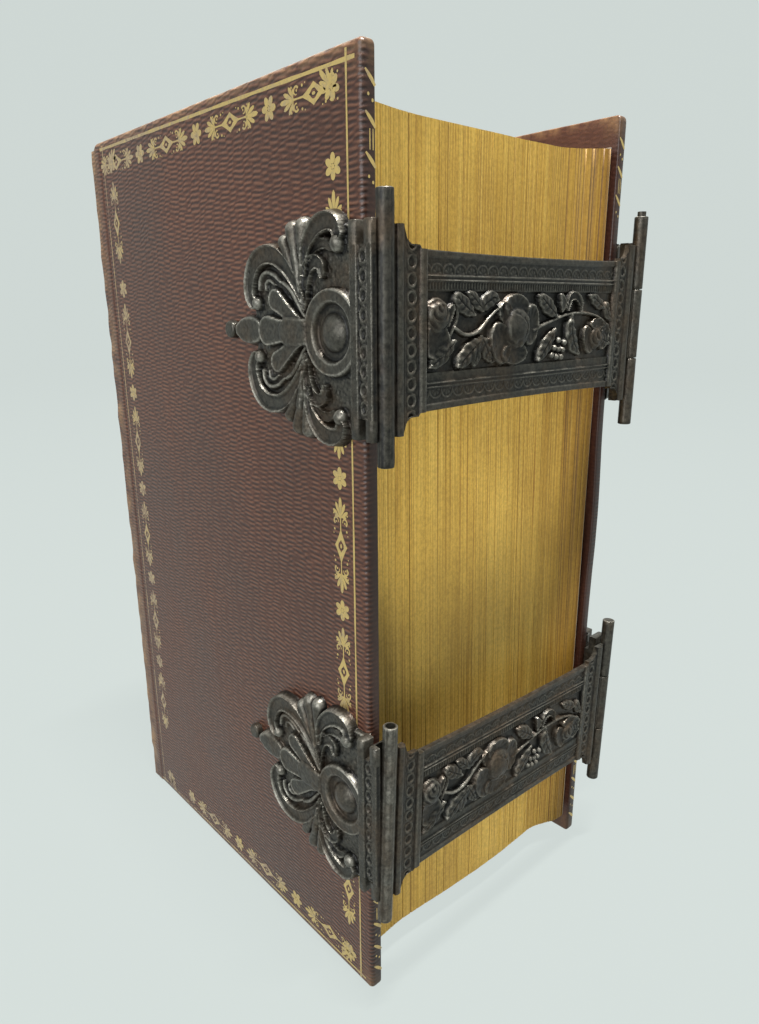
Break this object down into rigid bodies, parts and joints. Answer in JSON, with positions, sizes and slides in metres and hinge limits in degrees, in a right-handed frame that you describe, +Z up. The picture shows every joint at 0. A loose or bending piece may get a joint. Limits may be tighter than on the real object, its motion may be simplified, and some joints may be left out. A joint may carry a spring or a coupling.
{
  "type": "book",
  "caption": "Closed old book in tooled leather with gilt page edges, cast scroll plates and hinged straps that clasp it across the fore-edge.",
  "frame": {"origin": "on the floor, under the centre of the closed book's bounding box", "axes": "+Z up, from tail to head; -Y out of the fore-edge with its clasps; +Y out of the spine; -X out of the front cover"},
  "size_m": [0.0816, 0.1196, 0.18],
  "materials": {
    "leather": "dark red-brown straight-grained leather, polished and rubbed, gold tooled",
    "millboard": "grey-brown rolled millboard",
    "gilt_pages": "pages of rag paper, with worn gilt on all three edges",
    "endpaper": "aged plain paper",
    "cord": "hemp cord",
    "lining": "glued paper and mull",
    "sewn_band": "faded silk thread over a cord",
    "silver": "cast silver, polished high parts, dark tarnish in the hollows",
    "pin_metal": "worn drawn wire"
  },
  "bodies": {
    "book_block": {"text_block": "gilt_pages", "front_flyleaf": "endpaper", "back_flyleaf": "endpaper", "sewing_cords": "cord", "spine_lining": "lining", "head_band": "sewn_band", "tail_band": "sewn_band", "spine_leather": "leather"},
    "front_cover": {"front_board": "millboard", "front_leather": "leather", "front_pastedown": "endpaper", "upper_front_plate": "silver", "lower_front_plate": "silver", "upper_front_stud": "silver", "lower_front_stud": "silver"},
    "back_cover": {"back_board": "millboard", "back_leather": "leather", "back_pastedown": "endpaper", "upper_back_plate": "silver", "lower_back_plate": "silver", "upper_back_stud": "silver", "lower_back_stud": "silver", "upper_hinge_pin": "pin_metal", "lower_hinge_pin": "pin_metal"},
    "upper_clasp": {"upper_strap": "silver", "upper_catch_tube": "silver"},
    "lower_clasp": {"lower_strap": "silver", "lower_catch_tube": "silver"}
  },
  "joints": [
    {"name": "front_cover_joint", "type": "hinge", "parent": "book_block", "child": "front_cover", "pos_m": [-0.03775, 0.0494, 0.09], "axis": [0, 0, -1], "range_deg": [0, 150]},
    {"name": "back_cover_joint", "type": "hinge", "parent": "book_block", "child": "back_cover", "pos_m": [0.03775, 0.0494, 0.09], "axis": [0, 0, 1], "range_deg": [0, 150]},
    {"name": "upper_clasp_hinge", "type": "hinge", "parent": "back_cover", "child": "upper_clasp", "pos_m": [0.03775, -0.0574, 0.137], "axis": [0, 0, 1], "range_deg": [0, 180]},
    {"name": "lower_clasp_hinge", "type": "hinge", "parent": "back_cover", "child": "lower_clasp", "pos_m": [0.03772, -0.0574, 0.04205], "axis": [0.0384, 0, 0.9993], "range_deg": [0, 180]}
  ]
}
